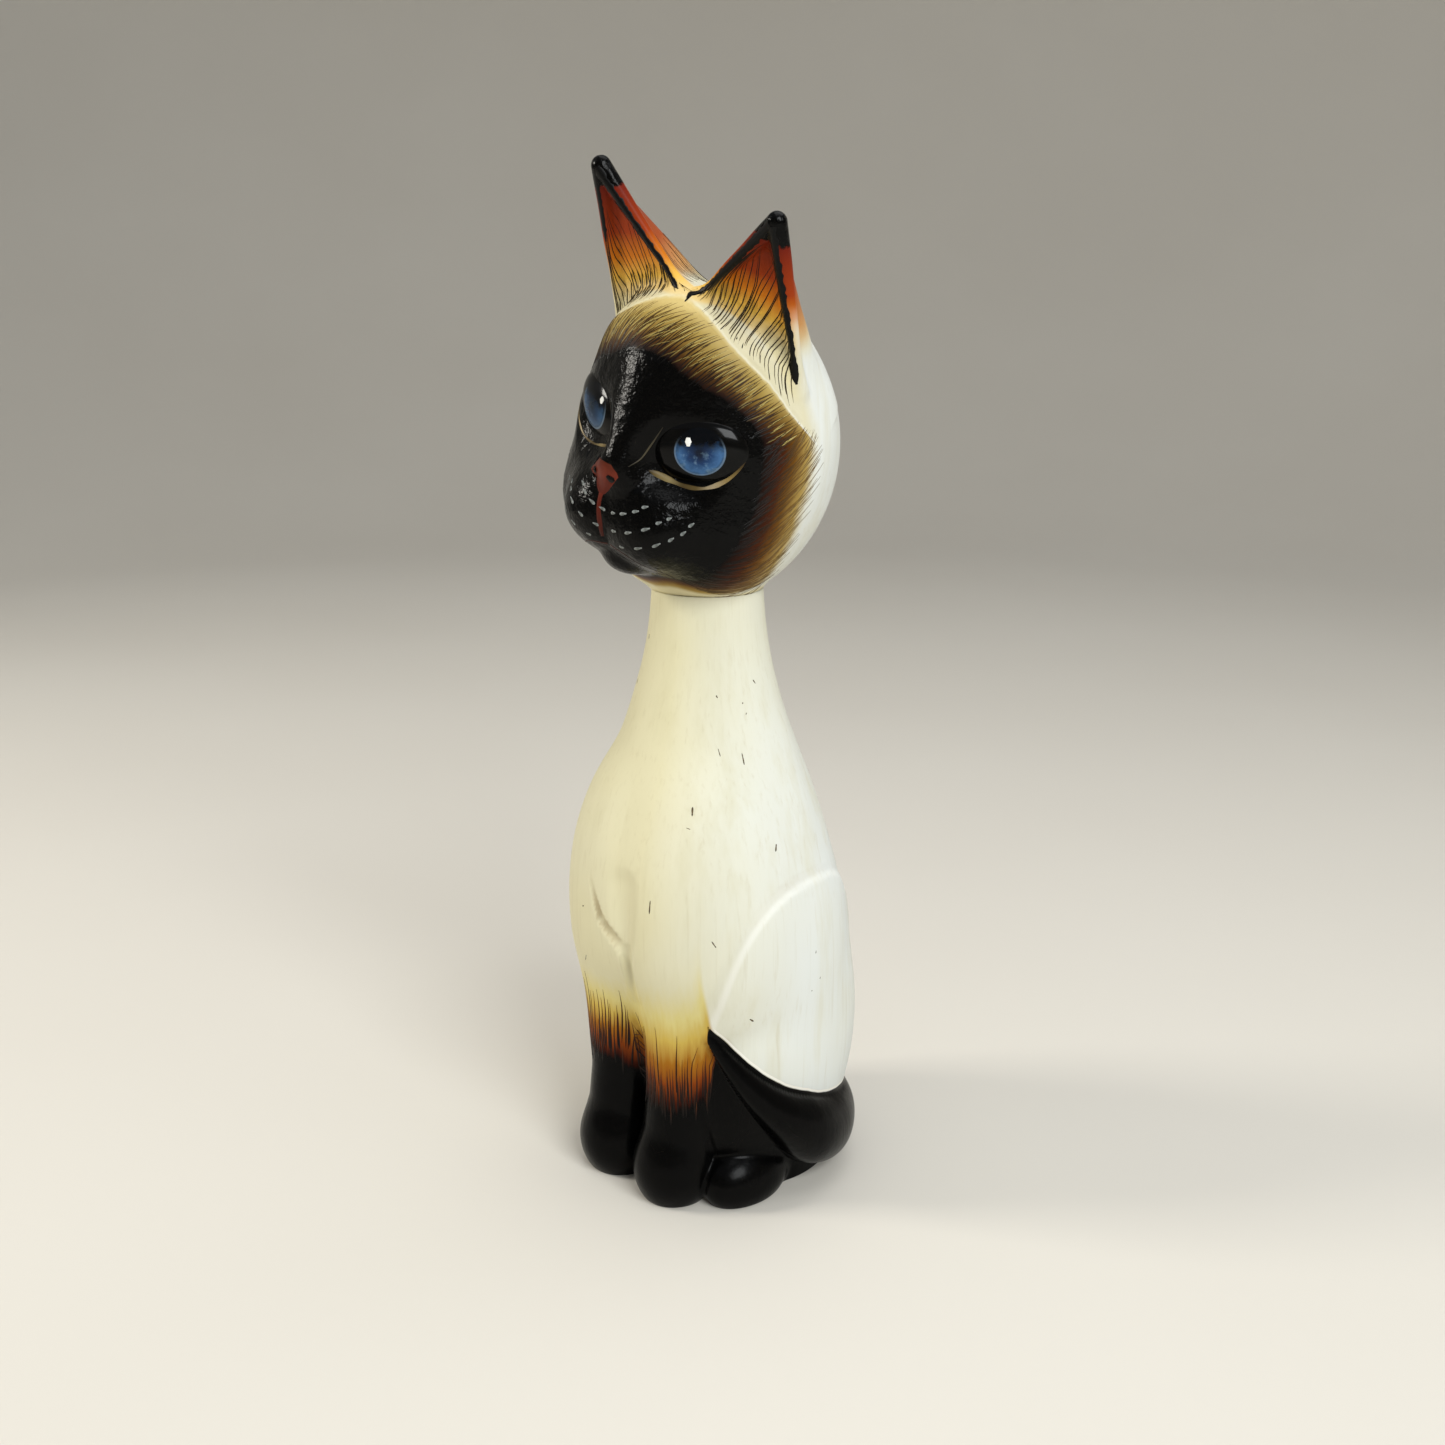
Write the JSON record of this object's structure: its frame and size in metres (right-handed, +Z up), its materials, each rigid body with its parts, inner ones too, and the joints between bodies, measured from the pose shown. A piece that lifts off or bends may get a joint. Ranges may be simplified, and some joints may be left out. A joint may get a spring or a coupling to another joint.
{
  "type": "carved cat figurine",
  "caption": "Tall slim sitting cat carved in wood, with upright ears and its tail wrapped round one side; a decorative figure that stands free on a shelf or table.",
  "frame": {"origin": "on the floor, under the neck's long axis, in the flat underside", "axes": "+Z up along the body; the body's front faces -Y; the cat's left side, where the tail lies, is +X"},
  "size_m": [0.0876, 0.0848, 0.2968],
  "materials": {
    "body_paint": "cream paint on carved wood, satin varnish, black points",
    "head_paint": "cream to amber paint with a black mask, gloss varnish",
    "bare_wood": "bare turned hardwood",
    "line_paint": "thin raised brush lines of paint",
    "eye_gloss": "clear gloss over blue paint"
  },
  "bodies": {
    "root": {"body": "body_paint", "head": "head_paint", "neck_dowel": "bare_wood"}
  },
  "joints": []
}
